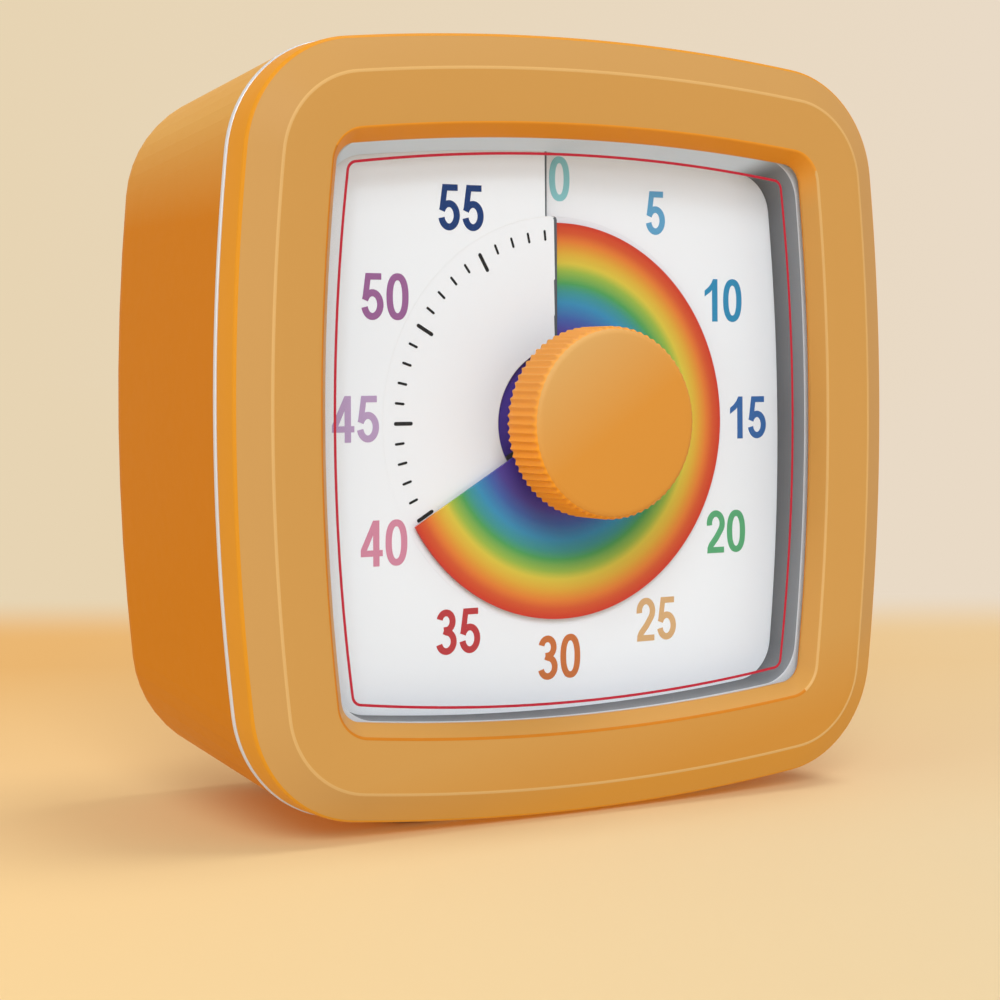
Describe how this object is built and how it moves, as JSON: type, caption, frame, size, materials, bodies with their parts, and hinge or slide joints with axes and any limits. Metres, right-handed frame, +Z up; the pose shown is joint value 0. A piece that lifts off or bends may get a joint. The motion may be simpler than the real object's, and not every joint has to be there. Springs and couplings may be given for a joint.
{
  "type": "visual countdown timer",
  "caption": "Square bulging countdown timer: a film disc in rainbow rings turns through a slit in a white dial card, set by a ribbed centre knob.",
  "frame": {"origin": "centre of the bounding box at the level of the feet", "axes": "+Z up, the dial faces -Y, +X to the right as the dial is read"},
  "size_m": [0.0862, 0.0462, 0.0865],
  "materials": {
    "bezel_plastic": "smooth orange moulded plastic, satin-gloss",
    "rear_plastic": "smooth deeper orange moulded plastic, satin-gloss",
    "knob_plastic": "satin orange moulded plastic",
    "trim": "silver painted satin",
    "clear": "clear polished plastic",
    "grey_plastic": "light grey moulded plastic",
    "card": "white card, matt",
    "disc_film": "printed film, colours from red at the rim to violet at the centre",
    "white_plastic": "natural white acetal",
    "dark_plastic": "dark moulded plastic",
    "steel": "bright steel",
    "brass": "spring brass",
    "copper": "enamelled copper wire",
    "magnet": "dark ferrite and steel",
    "board": "green solder mask",
    "rubber": "soft dark rubber",
    "cell_skin": "plain shrink sleeve",
    "red_wire": "insulated wire",
    "black_wire": "insulated wire",
    "grey_wire": "insulated wire",
    "yellow_wire": "insulated wire"
  },
  "bodies": {
    "case": {"front_bezel": "bezel_plastic", "trim_ring": "trim", "rear_case": "rear_plastic", "lens": "clear", "inner_frame": "grey_plastic", "dial_tray": "grey_plastic", "dial_card": "card", "alarm_leaf": "brass", "stator": "steel", "coil_core": "steel", "coil_bobbin": "dark_plastic", "coil_winding": "copper", "coil_terminals": "brass", "movement_front": "dark_plastic", "movement_back": "dark_plastic", "movement_screws": "steel", "tray_screws": "steel", "case_screws": "steel", "circuit_board": "board", "board_screws": "steel", "driver_chip": "dark_plastic", "quartz_crystal": "steel", "capacitor": "dark_plastic", "switch_body": "steel", "speaker": "dark_plastic", "battery": "cell_skin", "battery_spring": "steel", "battery_plate": "steel", "battery_lead_red": "red_wire", "battery_lead_black": "black_wire", "motor_leads": "yellow_wire", "speaker_leads": "grey_wire", "rubber_feet": "rubber"},
    "dial_knob": {"knob": "knob_plastic", "arbor": "steel", "disc_hub": "white_plastic", "retaining_clip": "steel", "clutch_spring": "brass", "alarm_cam": "white_plastic"},
    "colour_disc": {"time_disc": "disc_film"},
    "centre_gear": {"centre_wheel": "white_plastic"},
    "third_gear": {"third_wheel": "white_plastic"},
    "second_gear": {"second_wheel": "white_plastic"},
    "motor_rotor": {"rotor": "magnet"},
    "door": {"battery_door": "rear_plastic"},
    "sound_switch": {"switch_slider": "dark_plastic"}
  },
  "joints": [
    {"name": "knob_spin", "type": "hinge", "parent": "case", "child": "dial_knob", "pos_m": [0, -0.01745, 0.044], "axis": [0, 1, 0], "range_deg": [-240, 120]},
    {"name": "disc_screw", "type": "slide", "parent": "dial_knob", "child": "colour_disc", "axis": [0, -1, 0], "range_m": [-0.00107, 0.00053]},
    {"name": "centre_spin", "type": "hinge", "parent": "case", "child": "centre_gear", "pos_m": [0, -0.00485, 0.044], "axis": [0, 1, 0], "continuous": true},
    {"name": "third_spin", "type": "hinge", "parent": "case", "child": "third_gear", "pos_m": [-0.01073, -0.00285, 0.053], "axis": [0, 1, 0], "continuous": true},
    {"name": "second_spin", "type": "hinge", "parent": "case", "child": "second_gear", "pos_m": [-0.00206, -0.00085, 0.06166], "axis": [0, 1, 0], "continuous": true},
    {"name": "rotor_spin", "type": "hinge", "parent": "case", "child": "motor_rotor", "pos_m": [0.00663, 0.00055, 0.05933], "axis": [0, 1, 0], "continuous": true},
    {"name": "door_hinge", "type": "hinge", "parent": "case", "child": "door", "pos_m": [0, 0.02215, 0.0155], "axis": [-1, 0, 0], "range_deg": [0, 100]},
    {"name": "sound_slide", "type": "slide", "parent": "case", "child": "sound_switch", "axis": [1, 0, 0], "range_m": [-0.002, 0.002]}
  ],
  "couplings": [
    {"joint": "disc_screw", "follows": "knob_spin", "m_per_rad": 0.00025465},
    {"joint": "third_spin", "follows": "centre_spin", "ratio": -6},
    {"joint": "second_spin", "follows": "centre_spin", "ratio": 36},
    {"joint": "rotor_spin", "follows": "centre_spin", "ratio": -180}
  ]
}
